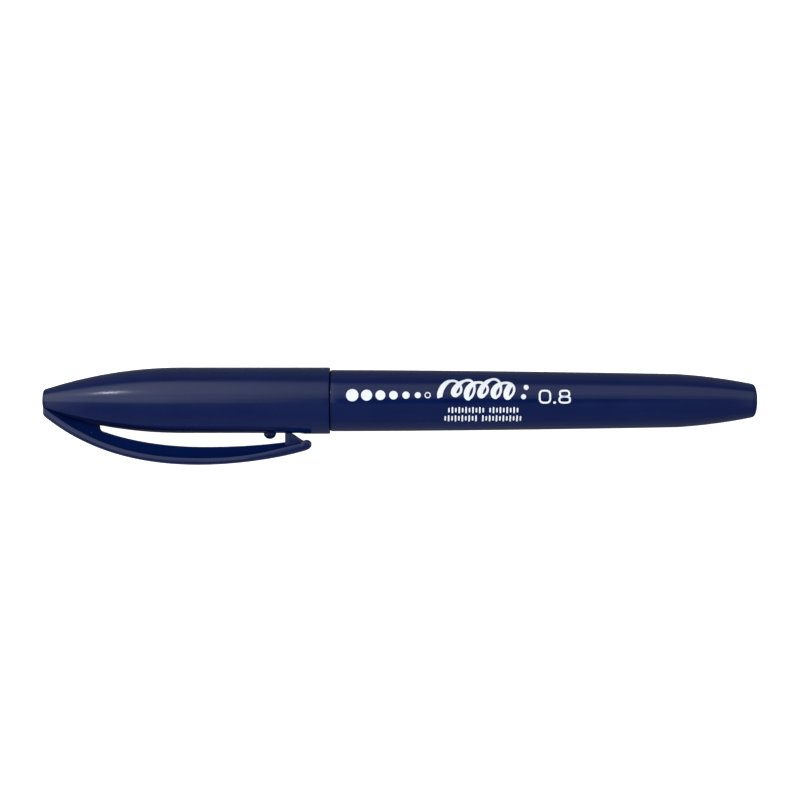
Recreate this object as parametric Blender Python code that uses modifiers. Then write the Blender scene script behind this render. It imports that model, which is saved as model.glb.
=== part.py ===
"""A capped, fine-point calligraphy and colour marker, in metres.

The pen lies along X with its axis at Y = Z = 0. The tail face is at X = 0 and the closed end of
the cap at X = -TOTAL_LENGTH. The pocket clip is on the -Y side of the cap. Side outlines of the
clip are drawn as (distance from the cap's closed end, distance from the pen's axis).
"""

import math

import bmesh
import bpy
from mathutils import Matrix, Vector
from mathutils.geometry import interpolate_bezier

mm = 0.001

# Driving dimensions.
TOTAL_LENGTH = 139.0 * mm
CAP_LENGTH = 55.88 * mm
CAP_RADIUS = 6.5 * mm
BARREL_RADIUS = 6.0 * mm
TAPER_DROP = 0.76 * mm
TAIL_RADIUS = 3.34 * mm  # of the barrel where it meets the tail plug
TAIL_FACE_RADIUS = 2.15 * mm
LINE_WIDTH = 0.8 * mm
SEAM = 0.06 * mm  # between pieces that are pressed together
SLIDE_GAP = 0.07 * mm  # between the pen and the cap that slides off it

# Stations along X.
CAP_END_X = -TOTAL_LENGTH
CAP_MOUTH_X = CAP_END_X + CAP_LENGTH
SHOULDER_X = CAP_MOUTH_X + SEAM
TAIL_SEAM_X = -0.6 * mm
TAPER_START_X = -80.0 * mm
NOSE_X = -15.5 * mm  # where the barrel turns in towards the tail
SPIGOT_END_X = -71.0 * mm
GRIP_END_X = -107.0 * mm
SECTION_FRONT_X = -117.2 * mm
HOLDER_BACK_X = -100.0 * mm
HOLDER_FRONT_X = -118.6 * mm
NIB_TIP_X = -121.0 * mm
RESERVOIR_X = (-94.9 * mm, -16.2 * mm)
INNER_CAP_X = (-126.4 * mm, -107.9 * mm)
FLANGE_BACK_X = -110.4 * mm  # of the inner cap, which seats in the shell here
SNAP_X = -86.4 * mm  # where the section's snap ring begins, past the bead in the cap's mouth
PLUG_SEAT_X = -8.5 * mm  # the bottom of the barrel's socket for the tail plug
TAIL_WALL = 2.0 * mm

# Edges.
TAIL_BREAK = 0.1 * mm
SHOULDER_EDGE = 0.27 * mm
MOUTH_EDGE = 0.12 * mm

# Radii of the fits.
SPIGOT_BORE_RADIUS = 5.0 * mm
NECK_RADIUS = 5.18 * mm
SNAP_RING_RADIUS = 5.26 * mm
CAP_BORE_RADIUS = 5.45 * mm
SEAL_RADIUS = 3.72 * mm
FLANGE_RADIUS = 5.0 * mm
INNER_CAP_RADIUS = 4.35 * mm
HOLDER_RADIUS = 1.5 * mm
NIB_RADIUS = 0.9 * mm
RESERVOIR_RADIUS = 3.75 * mm
FILM_RADIUS = 4.0 * mm
CHAMBER_RADIUS = 4.12 * mm
PLUG_RADIUS = 2.5 * mm

# The cap's ogive: an arc that runs tangent into the straight part.
OGIVE_LENGTH = 27.0 * mm
OGIVE_ARC_RADIUS = 86.4 * mm

# The clip. Its arm is split from its root where it comes free of the cap.
CLIP_SPLIT = 11.5 * mm
CLIP_GAP_END = 10.9 * mm
CLIP_SPLIT_GAP = 0.04 * mm
CLIP_HINGE_OUT = 9.65 * mm  # just outside the strap, so that the split opens as the clip lifts
KEEL_HALF_WIDTH = 0.7 * mm  # at its free edge
KEEL_INSET = 0.12 * mm  # of its wide side from the strap's edge
TOOTH_HALF_WIDTH = 1.7 * mm
BUMP_AT = 44.15 * mm
BUMP_HEIGHT = 1.0 * mm
BUMP_BASE_RADIUS = 1.2 * mm

SEGMENTS = 48
SLIM_SEGMENTS = 24

NAVY = (0.0100, 0.0170, 0.0740)
INK_NAVY = (0.0060, 0.0100, 0.0500)
LINER_WHITE = (0.78, 0.79, 0.80)
FILM_CLEAR = (0.62, 0.66, 0.72)
HOLDER_GREY = (0.10, 0.11, 0.13)


def clear_scene():
    for obj in list(bpy.data.objects):
        bpy.data.objects.remove(obj)


def collection(name):
    made = bpy.data.collections.new(name)
    bpy.context.scene.collection.children.link(made)
    return made


def plastic(name, colour, roughness):
    """A plain Principled material."""
    material = bpy.data.materials.new(name)
    material.use_nodes = True
    shader = material.node_tree.nodes["Principled BSDF"]
    shader.inputs["Base Color"].default_value = (*colour, 1.0)
    shader.inputs["Roughness"].default_value = roughness
    shader.inputs["Metallic"].default_value = 0.0
    return material


def add_object(name, mesh, where, material=None):
    obj = bpy.data.objects.new(name, mesh)
    where.objects.link(obj)
    if material:
        mesh.materials.append(material)
    return obj


def turned(name, profile, where, material=None, segments=SEGMENTS):
    """A solid turned about X. The profile's (x, radius) points run from the tail towards the cap's
    end along the outer side, and back along the bore. It is a closed ring unless it starts and
    ends on the axis."""
    mesh = bpy.data.meshes.new(name)
    points = [(radius, 0.0, x) for x, radius in profile]
    edges = [(i, i + 1) for i in range(len(points) - 1)]
    if profile[0][1] > 0.0:
        edges.append((len(points) - 1, 0))
    mesh.from_pydata(points, edges, [])
    obj = add_object(name, mesh, where, material)
    obj.rotation_euler = (0.0, math.pi / 2, 0.0)
    screw = obj.modifiers.new("Turn", "SCREW")
    screw.axis = "Z"
    screw.steps = segments
    screw.render_steps = segments
    screw.use_merge_vertices = True
    screw.merge_threshold = 0.00001
    screw.use_smooth_shade = True
    return obj


def solid_mesh(obj, name, where, origin=(0.0, 0.0, 0.0)):
    """A new object that holds the evaluated mesh of obj, with its caps welded and its origin at
    the given point. obj is removed."""
    bpy.context.view_layer.update()
    graph = bpy.context.evaluated_depsgraph_get()
    mesh = bpy.data.meshes.new_from_object(obj.evaluated_get(graph))
    mesh.transform(Matrix.Translation(-Vector(origin)) @ obj.matrix_world)
    work = bmesh.new()
    work.from_mesh(mesh)
    bmesh.ops.remove_doubles(work, verts=work.verts, dist=0.001 * mm)
    bmesh.ops.recalc_face_normals(work, faces=work.faces)
    work.to_mesh(mesh)
    work.free()
    bpy.data.objects.remove(obj)
    made = add_object(name, mesh, where)
    made.location = origin
    return made


def outline_solid(name, outline, half_width, where):
    """A side outline of the clip, given as (from the cap's end, from the axis), made a solid that
    is twice half_width wide along Z."""
    curve = bpy.data.curves.new(name, "CURVE")
    curve.dimensions = "2D"
    curve.fill_mode = "BOTH"
    curve.extrude = half_width
    spline = curve.splines.new("POLY")
    spline.points.add(len(outline) - 1)
    for point, (along, out) in zip(spline.points, outline):
        point.co = (CAP_END_X + along, -out, 0.0, 1.0)
    spline.use_cyclic_u = True
    obj = bpy.data.objects.new(f"{name}_outline", curve)
    where.objects.link(obj)
    return solid_mesh(obj, name, where)


def lofted(name, sections, where):
    """A solid through sections, which are loops of points that match one to one."""
    work = bmesh.new()
    loops = [[work.verts.new(point) for point in section] for section in sections]
    for first, second in zip(loops, loops[1:]):
        for i in range(len(first)):
            j = (i + 1) % len(first)
            work.faces.new((first[i], first[j], second[j], second[i]))
    work.faces.new(loops[0])
    work.faces.new(loops[-1])
    bmesh.ops.recalc_face_normals(work, faces=work.faces)
    mesh = bpy.data.meshes.new(name)
    work.to_mesh(mesh)
    work.free()
    return add_object(name, mesh, where)


def cylinder(name, start_x, end_x, radius, where, offset=(0.0, 0.0), segments=SLIM_SEGMENTS):
    """A cylinder along X, with its axis at (y, z) = offset."""
    bpy.ops.mesh.primitive_cylinder_add(
        vertices=segments,
        radius=radius,
        depth=abs(end_x - start_x),
        location=((start_x + end_x) / 2, *offset),
        rotation=(0.0, math.pi / 2, 0.0),
    )
    return take(name, where)


def box(name, centre, size, where):
    bpy.ops.mesh.primitive_cube_add(size=1.0, location=centre, scale=size)
    return take(name, where)


def take(name, where):
    """The object that an operator has just added, renamed and moved to its collection."""
    obj = bpy.context.object
    obj.name = name
    for old in list(obj.users_collection):
        old.objects.unlink(obj)
    where.objects.link(obj)
    return obj


def helper(obj):
    obj.hide_render = True
    obj.display_type = "WIRE"
    return obj


def combine(obj, tool, operation):
    """Joins, cuts or intersects obj with the tool, which becomes a helper."""
    modifier = obj.modifiers.new(tool.name, "BOOLEAN")
    modifier.operation = operation
    modifier.object = helper(tool)
    modifier.solver = "EXACT"


def arc(centre, reach, start_degrees, end_degrees, steps=4):
    """Points of an arc about centre, as (x, radius) pairs. An angle of 0 points along +X. reach is
    the arc's radius, or its two half axes (along X, across X)."""
    along, across = reach if isinstance(reach, tuple) else (reach, reach)
    points = []
    for i in range(steps + 1):
        angle = math.radians(start_degrees + (end_degrees - start_degrees) * i / steps)
        points.append((centre[0] + along * math.cos(angle), centre[1] + across * math.sin(angle)))
    return points


def barrel_radius(x):
    """The barrel's outer radius: straight behind the cap, then tapering ever faster."""
    along_taper = max(0.0, x - TAPER_START_X) / (NOSE_X - TAPER_START_X)
    return BARREL_RADIUS - TAPER_DROP * along_taper**1.5


def cap_radius(along):
    """The cap's outer radius at a distance from its closed end."""
    short = max(0.0, OGIVE_LENGTH - along)
    return CAP_RADIUS - (OGIVE_ARC_RADIUS - math.sqrt(OGIVE_ARC_RADIUS**2 - short**2))


def curve_points(corners, count):
    """Points on a cubic curve with these four control points."""
    made = interpolate_bezier(*(Vector((*c, 0.0)) for c in corners), count)
    return [(p.x, p.y) for p in made]


def millimetres(*pairs):
    return [(a * mm, b * mm) for a, b in pairs]


# --- The pen: barrel, tail plug, section, holder, nib and the ink reservoir ---


def nose_points():
    """The barrel's tail, an arc from the taper's end to the plug's rim."""
    slope_in = 0.06
    length = TAIL_SEAM_X - SEAM - TAIL_BREAK - NOSE_X
    start = barrel_radius(NOSE_X)
    curvature = 2 * (start - TAIL_RADIUS - slope_in * length) / length**2
    steps = 6
    points = []
    for i in range(steps + 1):
        run = length * i / steps
        points.append((NOSE_X + run, start - slope_in * run - curvature * run**2 / 2))
    return points


def make_barrel(where, navy):
    tail_edge = [(TAIL_SEAM_X - SEAM, TAIL_RADIUS - TAIL_BREAK)]
    taper = [(x * mm, barrel_radius(x * mm)) for x in (-30, -45, -60, -71, -80)]
    edge = SHOULDER_EDGE
    front_edge = arc((SHOULDER_X + edge, BARREL_RADIUS - edge), edge, 90, 180)
    bore = [
        (SHOULDER_X, SPIGOT_BORE_RADIUS),
        (SPIGOT_END_X + 0.5 * mm, SPIGOT_BORE_RADIUS),
        (SPIGOT_END_X + 0.8 * mm, 4.75 * mm),
        (RESERVOIR_X[1] + 0.3 * mm, CHAMBER_RADIUS),
        (PLUG_SEAT_X, PLUG_RADIUS),
        (TAIL_SEAM_X - SEAM, PLUG_RADIUS),
    ]
    profile = tail_edge + nose_points()[::-1] + taper + front_edge + bore
    return turned("barrel", profile, where, navy)


def make_tail_plug(where, navy, cutters):
    """A flush rim and a cup pressed into the barrel. Its slotted skirt stops the reservoir."""
    drop = TAIL_RADIUS - TAIL_BREAK - TAIL_FACE_RADIUS
    rim = arc((TAIL_SEAM_X, TAIL_FACE_RADIUS), (-TAIL_SEAM_X, drop), 0, 90, 5)
    skirt_end = RESERVOIR_X[1] + SEAM
    cup = [
        (TAIL_SEAM_X, PLUG_RADIUS - SEAM),
        (PLUG_SEAT_X + 1.1 * mm, PLUG_RADIUS - SEAM),
        (PLUG_SEAT_X + 0.5 * mm, 2.1 * mm),
        (skirt_end, 2.1 * mm),
        (skirt_end, 1.4 * mm),
        (-TAIL_WALL, 1.4 * mm),
        (-TAIL_WALL, 0.0),
    ]
    plug = turned("tail_plug", [(0.0, 0.0)] + rim + cup, where, navy, 32)
    depth, width, across = 5.0 * mm, 1.0 * mm, 6.0 * mm
    for i, size in enumerate(((depth, across, width), (depth, width, across))):
        slot = box(f"skirt_slot_{i}", (skirt_end, 0.0, 0.0), size, cutters)
        combine(plug, slot, "DIFFERENCE")
    return plug


def make_grip_section(where, navy):
    """The moulding that closes the barrel's front and carries the nib."""
    spigot = SPIGOT_BORE_RADIUS - SEAM
    shoulder = SHOULDER_X - SEAM
    outer = [
        (SPIGOT_END_X, spigot - 0.4 * mm),
        (SPIGOT_END_X - 0.6 * mm, spigot),
        (shoulder, spigot),
        (shoulder, NECK_RADIUS),
        (SNAP_X, NECK_RADIUS),
        (SNAP_X - 0.4 * mm, SNAP_RING_RADIUS),
        (SNAP_X - 1.0 * mm, SNAP_RING_RADIUS),
        (SNAP_X - 1.4 * mm, NECK_RADIUS),
        (-91.0 * mm, 5.1 * mm),
        (-97.0 * mm, 4.82 * mm),
        (GRIP_END_X, 4.45 * mm),
        (GRIP_END_X - 0.45 * mm, 4.2 * mm),
        (GRIP_END_X - 0.6 * mm, SEAL_RADIUS),
        (-111.2 * mm, SEAL_RADIUS),
        (-111.8 * mm, 3.3 * mm),
        (-114.5 * mm, 2.45 * mm),
        (SECTION_FRONT_X + 0.2 * mm, 2.0 * mm),
        (SECTION_FRONT_X, 1.8 * mm),
    ]
    bore_radius = HOLDER_RADIUS + SEAM
    bore = [
        (SECTION_FRONT_X, bore_radius),
        (HOLDER_BACK_X + 0.5 * mm, bore_radius),
        (RESERVOIR_X[0] - 0.1 * mm, CHAMBER_RADIUS),
        (SPIGOT_END_X, CHAMBER_RADIUS),
    ]
    return turned("grip_section", outer + bore, where, navy)


def make_nib_holder(where, grey):
    """The collar that guides the nib and stands out of the section."""
    back = HOLDER_BACK_X
    bore = NIB_RADIUS + SEAM
    profile = [
        (back, HOLDER_RADIUS),
        (SECTION_FRONT_X, HOLDER_RADIUS),
        (SECTION_FRONT_X - 0.3 * mm, 1.42 * mm),
        (HOLDER_FRONT_X + 0.1 * mm, 1.14 * mm),
        (HOLDER_FRONT_X, 1.04 * mm),
        (HOLDER_FRONT_X, bore),
        (back, bore),
    ]
    return turned("nib_holder", profile, where, grey, SLIM_SEGMENTS)


def make_nib(where, ink):
    """A fibre rod with a rounded point as wide as the line it draws."""
    tip = LINE_WIDTH / 2
    back = RESERVOIR_X[0] + 2.4 * mm
    point = arc((NIB_TIP_X + tip, 0.0), tip, 108, 180)
    profile = [
        (back, 0.0),
        (back, NIB_RADIUS - 0.3 * mm),
        (back - 0.4 * mm, NIB_RADIUS),
        (HOLDER_FRONT_X, NIB_RADIUS),
        (HOLDER_FRONT_X - 0.5 * mm, NIB_RADIUS - 0.04 * mm),
    ]
    profile += point[:-1] + [(NIB_TIP_X, 0.0)]
    return turned("nib", profile, where, ink, SLIM_SEGMENTS)


def make_reservoir(where, cutters, ink, film, liner):
    """Fibre core, its film and the breather tube that lies in a groove of the core."""
    front, back = RESERVOIR_X
    socket_end = front + 2.7 * mm
    core = turned(
        "ink_reservoir",
        [
            (back, 0.0),
            (back, RESERVOIR_RADIUS),
            (front, RESERVOIR_RADIUS),
            (front, NIB_RADIUS + SEAM),
            (socket_end, NIB_RADIUS + SEAM),
            (socket_end, 0.0),
        ],
        where,
        ink,
    )
    tube_radius = 0.6 * mm
    tube_offset = (0.0, RESERVOIR_RADIUS - tube_radius)
    over = 1.0 * mm
    groove = cylinder(
        "tube_groove", front - over, back + over, tube_radius + SEAM, cutters, tube_offset
    )
    combine(core, groove, "DIFFERENCE")
    turned(
        "reservoir_film",
        [
            (back, FILM_RADIUS),
            (front, FILM_RADIUS),
            (front, RESERVOIR_RADIUS + SEAM),
            (back, RESERVOIR_RADIUS + SEAM),
        ],
        where,
        film,
    )
    tube = cylinder(
        "breather_tube", front + 0.3 * mm, back - 0.3 * mm, tube_radius, where, tube_offset
    )
    tube.data.materials.append(liner)
    bore = cylinder(
        "breather_bore", front - over, back + over, tube_radius / 2, cutters, tube_offset, 16
    )
    combine(tube, bore, "DIFFERENCE")


# --- The cap: inner cap, shell with the clip's root, and the clip's arm ---


def make_inner_cap(where, liner):
    """The cup that seals round the section's nose and keeps the nib wet."""
    end, mouth = INNER_CAP_X
    seal = SEAL_RADIUS + SLIDE_GAP
    profile = [
        (end + 0.8 * mm, 0.0),
        (end + 0.8 * mm, 3.4 * mm),
        (-113.2 * mm, 3.55 * mm),
        (-112.2 * mm, seal),
        (mouth - 0.5 * mm, seal),
        (mouth, seal + 0.25 * mm),
        (mouth, FLANGE_RADIUS),
        (FLANGE_BACK_X, FLANGE_RADIUS),
        (FLANGE_BACK_X, INNER_CAP_RADIUS),
        (end + 0.5 * mm, 4.1 * mm),
        (end, 3.6 * mm),
        (end, 0.0),
    ]
    return turned("inner_cap", profile, where, liner)


def cap_cup_profile():
    """The shell's bore from its inner end to the mouth, then the outside to the closed end."""
    edge = 0.35 * mm
    end_wall = 2.2 * mm
    seat_x, seat_radius = FLANGE_BACK_X - SEAM, INNER_CAP_RADIUS + SLIDE_GAP
    bore = [
        (CAP_END_X + end_wall, 0.0),
        (CAP_END_X + end_wall, 1.0 * mm),
        (INNER_CAP_X[0] - 0.8 * mm, 3.5 * mm),
        (INNER_CAP_X[0] - 0.2 * mm, 4.17 * mm),
        (FLANGE_BACK_X - 0.6 * mm, seat_radius),
        (seat_x, seat_radius),
        (seat_x, FLANGE_RADIUS + SLIDE_GAP),
        (INNER_CAP_X[1] + 0.1 * mm, FLANGE_RADIUS + SLIDE_GAP),
        (INNER_CAP_X[1] + 0.6 * mm, CAP_BORE_RADIUS),
        (SNAP_X - 0.2 * mm, CAP_BORE_RADIUS),
        (SNAP_X + 0.2 * mm, SNAP_RING_RADIUS + SLIDE_GAP),
        (CAP_MOUTH_X - 0.3 * mm, SNAP_RING_RADIUS + SLIDE_GAP),
        (CAP_MOUTH_X, SNAP_RING_RADIUS + SLIDE_GAP + 0.25 * mm),
    ]
    edge_centre = (CAP_MOUTH_X - MOUTH_EDGE, CAP_RADIUS - MOUTH_EDGE)
    outer = arc(edge_centre, MOUTH_EDGE, 0, 90, 3)
    steps = 9
    for i in range(steps + 1):
        along = OGIVE_LENGTH - (OGIVE_LENGTH - edge) * i / steps
        outer.append((CAP_END_X + along, cap_radius(along)))
    outer += arc((CAP_END_X + edge, cap_radius(edge) - edge), edge, 120, 180, 2)
    outer.append((CAP_END_X, 0.0))
    return bore + outer


def clip_lines(count):
    """Matching points along the strap's outer and inner faces, from the root to the lip."""
    outer_root = millimetres((0.1, 3.05), (8.4, 9.75), (18.5, 12.56), (30.4, 12.56))
    outer_tip = millimetres((30.4, 12.56), (36.6, 12.56), (44.7, 11.6), (50.6, 9.93))
    inner_root = millimetres((0.1, 1.2), (9.1, 8.1), (17.6, 11.14), (31.0, 11.14))
    inner_tip = millimetres((31.0, 11.14), (41.2, 11.14), (44.9, 9.45), (50.4, 8.3))
    outer = curve_points(outer_root, count)[:-1] + curve_points(outer_tip, count)
    inner = curve_points(inner_root, count)[:-1] + curve_points(inner_tip, count)
    lip = millimetres((51.3, 9.7), (51.9, 9.42), (52.2, 9.0))
    lip_inner = millimetres((50.8, 7.72), (51.6, 7.72), (52.2, 8.25))
    return outer + lip, inner + lip_inner


def strap_half_width(along):
    """A leaf in plan: as narrow as the end face at its root, widest near the middle."""
    root, middle, tip = 1.9 * mm, 3.05 * mm, 2.3 * mm
    widest, end = 22.0 * mm, 52.2 * mm
    if along < widest:
        return middle - (middle - root) * (1 - along / widest) ** 1.8
    return middle - (middle - tip) * ((along - widest) / (end - widest)) ** 2


def strap_section(outer, inner):
    """The strap's section between an inner and an outer point: flat inside, crowned outside."""
    half = strap_half_width(outer[0])
    edge = 0.05
    shape = ((1 - edge, 0.0), (1.0, 0.12), (1.0, 0.5), (0.8, 0.86), (0.4, 1.0))
    mirrored = shape + tuple((-across, up) for across, up in reversed(shape))
    return [
        (
            CAP_END_X + inner[0] + up * (outer[0] - inner[0]),
            -(inner[1] + up * (outer[1] - inner[1])),
            across * half,
        )
        for across, up in mirrored
    ]


def on_line(line, along):
    """How far from the pen's axis a line of (along, out) points is at this distance along it."""
    for (start, low), (end, high) in zip(line, line[1:]):
        if start <= along <= end:
            return low + (high - low) * (along - start) / (end - start)
    raise ValueError(f"the line does not reach {along}")


def keel_section(along, lines):
    """The keel's section: as wide as the strap it grows from, and narrow at its free edge, which
    is a small flat. At the root it fills the space down into the cap's wall."""
    outer, inner, free = (on_line(line, along) for line in lines)
    flat, in_wall = 0.15 * mm, 0.7 * mm
    low = min(free, cap_radius(along) - in_wall) if along < CLIP_GAP_END else free
    half = strap_half_width(along) - KEEL_INSET
    right = [(half, (outer + inner) / 2), (KEEL_HALF_WIDTH, free + flat), (KEEL_HALF_WIDTH, low)]
    loop = right + [(-across, out) for across, out in reversed(right)]
    return [(CAP_END_X + along, -out, across) for across, out in loop]


def make_keel(name, where):
    """The wedge under the strap, from the root to the tooth."""
    outer, inner = clip_lines(9)
    free = curve_points(millimetres((0.1, -0.9), (6.9, 6.4), (19.9, 9.06), (31.3, 9.06)), 16)
    free += curve_points(millimetres((31.3, 9.06), (38.3, 9.06), (44.6, 8.6), (50.4, 7.6)), 9)[1:]
    root = CLIP_GAP_END / mm
    step = 0.1
    stations = (1.2, 4, 7, root - step, root + step, 13, 16, 20, 25, 31, 37, 43, 47.2, 50)
    lines = (outer, inner, free)
    return lofted(name, [keel_section(along * mm, lines) for along in stations], where)


def make_clip(name, where):
    """The whole clip: a crowned strap, the keel under it and the tooth that grips."""
    outer, inner = clip_lines(9)
    strap = lofted(name, [strap_section(o, i) for o, i in zip(outer, inner)], where)
    tooth_side = millimetres((47.2, 9.0), (47.25, 6.58), (48.3, 6.58), (50.75, 7.8), (50.75, 9.0))
    tooth = outline_solid(f"{name}_tooth", tooth_side, TOOTH_HALF_WIDTH, where)
    combine(strap, make_keel(f"{name}_keel", where), "UNION")
    combine(strap, tooth, "UNION")
    return strap


def half_space(name, from_x, direction, where):
    """A block that covers everything on one side of from_x."""
    size = 60.0 * mm
    return box(name, (from_x + direction * size / 2, -8.0 * mm, 0.0), (size, size, size), where)


def make_bump(where):
    """The dome on the shell that the clip's tooth works against, closed off inside the wall."""
    radius = (BUMP_BASE_RADIUS**2 + BUMP_HEIGHT**2) / (2 * BUMP_HEIGHT)
    centre_y = -(CAP_RADIUS + BUMP_HEIGHT - radius)
    work = bmesh.new()
    bmesh.ops.create_uvsphere(work, u_segments=16, v_segments=10, radius=radius)
    bmesh.ops.rotate(
        work, verts=work.verts, cent=(0, 0, 0),
        matrix=Vector((0, 0, 1)).rotation_difference(Vector((0, -1, 0))).to_matrix(),
    )
    bmesh.ops.translate(work, verts=work.verts, vec=(CAP_END_X + BUMP_AT, centre_y, 0.0))
    everything = work.verts[:] + work.edges[:] + work.faces[:]
    in_wall = -(CAP_RADIUS - 0.6 * mm)
    bmesh.ops.bisect_plane(
        work, geom=everything, plane_co=(0, in_wall, 0), plane_no=(0, 1, 0), clear_outer=True
    )
    bmesh.ops.contextual_create(work, geom=[e for e in work.edges if e.is_boundary])
    bmesh.ops.recalc_face_normals(work, faces=work.faces)
    mesh = bpy.data.meshes.new("clip_bump")
    work.to_mesh(mesh)
    work.free()
    return add_object("clip_bump", mesh, where)


def make_cap(where, cutters, navy):
    """The shell with its bump and the clip's root, and the clip's arm, which bends."""
    split_x = CAP_END_X + CLIP_SPLIT
    shell = turned("cap_shell", cap_cup_profile(), where, navy)
    root = make_clip("clip_root", cutters)
    root_side = half_space("root_side", split_x - CLIP_SPLIT_GAP / 2, -1, cutters)
    combine(root, root_side, "INTERSECT")
    combine(shell, root, "UNION")
    combine(shell, make_bump(cutters), "UNION")

    arm = make_clip("clip_arm", cutters)
    arm_side = half_space("arm_side", split_x + CLIP_SPLIT_GAP / 2, 1, cutters)
    combine(arm, arm_side, "INTERSECT")
    hinge = (split_x, -CLIP_HINGE_OUT, 0.0)
    clip = solid_mesh(arm, "pocket_clip", where, hinge)
    clip.data.materials.clear()
    clip.data.materials.append(navy)
    clip.data.shade_smooth()
    clip.data.set_sharp_from_angle(angle=math.radians(35))


def main():
    clear_scene()
    marker = collection("calligraphy_marker")
    cutters = collection("cutters")
    navy = plastic("navy_plastic", NAVY, 0.3)
    ink = plastic("ink_fibre", INK_NAVY, 0.8)
    liner = plastic("liner_plastic", LINER_WHITE, 0.45)
    film = plastic("film", FILM_CLEAR, 0.2)
    grey = plastic("holder_plastic", HOLDER_GREY, 0.4)

    make_barrel(marker, navy)
    make_tail_plug(marker, navy, cutters)
    make_grip_section(marker, navy)
    make_nib_holder(marker, grey)
    make_nib(marker, ink)
    make_reservoir(marker, cutters, ink, film, liner)
    make_inner_cap(marker, liner)
    make_cap(marker, cutters, navy)


main()
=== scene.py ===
"""The looks of a capped calligraphy and colour marker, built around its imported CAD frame.

The pen lies along X with its axis at Y = Z = 0 and its tail face at X = 0. The pocket clip is on
the -Y side of the cap. Side outlines of the clip are given in millimetres, as (distance from the
cap's closed end, distance from the pen's axis).
"""

import math

import bmesh
import bpy
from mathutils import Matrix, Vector
from mathutils.geometry import interpolate_bezier


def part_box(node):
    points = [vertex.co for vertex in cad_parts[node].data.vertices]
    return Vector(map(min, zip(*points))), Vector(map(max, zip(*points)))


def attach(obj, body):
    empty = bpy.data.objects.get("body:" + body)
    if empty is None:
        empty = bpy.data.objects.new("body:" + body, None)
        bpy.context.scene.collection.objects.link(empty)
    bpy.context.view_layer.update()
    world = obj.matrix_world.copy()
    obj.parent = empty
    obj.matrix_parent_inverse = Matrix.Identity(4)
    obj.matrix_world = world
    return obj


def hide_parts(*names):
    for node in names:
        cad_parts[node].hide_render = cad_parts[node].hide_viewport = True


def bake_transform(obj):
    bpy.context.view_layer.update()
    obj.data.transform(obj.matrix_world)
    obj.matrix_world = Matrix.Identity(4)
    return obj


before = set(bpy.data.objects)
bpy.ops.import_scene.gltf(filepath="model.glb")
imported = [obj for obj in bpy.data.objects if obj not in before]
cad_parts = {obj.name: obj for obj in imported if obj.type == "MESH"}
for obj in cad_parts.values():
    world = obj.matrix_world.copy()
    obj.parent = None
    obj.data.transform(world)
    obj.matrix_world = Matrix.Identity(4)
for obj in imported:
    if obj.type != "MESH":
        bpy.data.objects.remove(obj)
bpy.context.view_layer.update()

mm = 0.001

# Stations and radii taken from the frame.
CAP_END_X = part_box("cap_shell")[0].x
CAP_MOUTH_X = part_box("cap_shell")[1].x
CAP_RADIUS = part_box("cap_shell")[1].z
SHOULDER_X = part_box("barrel")[0].x
TAIL_SEAM_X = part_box("barrel")[1].x
BARREL_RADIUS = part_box("barrel")[1].z
SECTION_X = (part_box("grip_section")[0].x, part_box("grip_section")[1].x)
HOLDER_X = (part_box("nib_holder")[0].x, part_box("nib_holder")[1].x)
NIB_X = (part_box("nib")[0].x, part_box("nib")[1].x)
INNER_CAP_X = (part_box("inner_cap")[0].x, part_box("inner_cap")[1].x)
PLUG_X = (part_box("tail_plug")[0].x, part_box("tail_plug")[1].x)
CLIP_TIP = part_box("pocket_clip")[1].x - CAP_END_X
RESERVOIR_FRONT_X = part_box("ink_reservoir")[0].x
FLOOR_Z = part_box("cap_shell")[0].z

# Shapes that the frame doesn't state.
TAPER_START_X = -80.0 * mm
TAPER_DROP = 0.76 * mm
NOSE_X = -15.5 * mm  # where the barrel turns in towards the tail
TAIL_RADIUS = 3.34 * mm
TAIL_FACE_RADIUS = 2.15 * mm
OGIVE_LENGTH = 27.0 * mm  # the cap's closed end is an arc that runs into its straight part
OGIVE_ARC_RADIUS = 86.4 * mm
SPIGOT_RADIUS = 4.94 * mm
BARREL_BORE_RADIUS = 5.0 * mm
CHAMBER_RADIUS = 4.12 * mm
PLUG_RADIUS = 2.5 * mm
CAP_BORE_RADIUS = 5.45 * mm
SEAL_RADIUS = 3.72 * mm
FLANGE_RADIUS = 5.0 * mm
INNER_CAP_RADIUS = 4.35 * mm
HOLDER_RADIUS = 1.5 * mm
NIB_RADIUS = 0.9 * mm
SEAM = 0.06 * mm  # between pieces that are pressed together
SLIDE_GAP = 0.07 * mm  # between the pen and the cap that slides off it
FLANGE_BACK_X = -110.4 * mm  # of the inner cap, which seats in the shell here
SNAP_X = -86.4 * mm  # where the section's snap ring begins
PLUG_SEAT_X = -8.5 * mm  # the bottom of the barrel's socket for the tail plug
LINE_WIDTH = 0.8 * mm
RECESS_DEPTH = 0.16 * mm
RECESS_END = 51.0 * mm
BUMP_AT = 44.15 * mm
KEEL_HALF_WIDTH = 0.7 * mm
TOOTH_HALF_WIDTH = 1.7 * mm
TOOTH_GAP = 0.03 * mm
TOOTH_START = 47.2 * mm
TOOTH_END = 50.7 * mm
CLIP_END_EDGE = 0.6 * mm
CLIP_FREE = 10.9 * mm  # where the clip comes free of the cap
ROOT_FILLET = 0.5 * mm

SEGMENTS = 128
COOL_WHITE = (0.95, 1.0, 1.05)  # the studio's lights
PAINTED_SHADE_MARK = "recess"  # the mesh attribute that is 1 on the floor of the cap's recess, where shade is painted


# --- Mesh helpers ---


def add_mesh(name, work, material, sharp_degrees=32):
    """A smooth-shaded object from a bmesh, which is freed."""
    bmesh.ops.recalc_face_normals(work, faces=work.faces)
    mesh = bpy.data.meshes.new(name)
    work.to_mesh(mesh)
    work.free()
    mesh.materials.append(material)
    mesh.shade_smooth()
    mesh.set_sharp_from_angle(angle=math.radians(sharp_degrees))
    obj = bpy.data.objects.new(name, mesh)
    bpy.context.scene.collection.objects.link(obj)
    return obj


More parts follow.
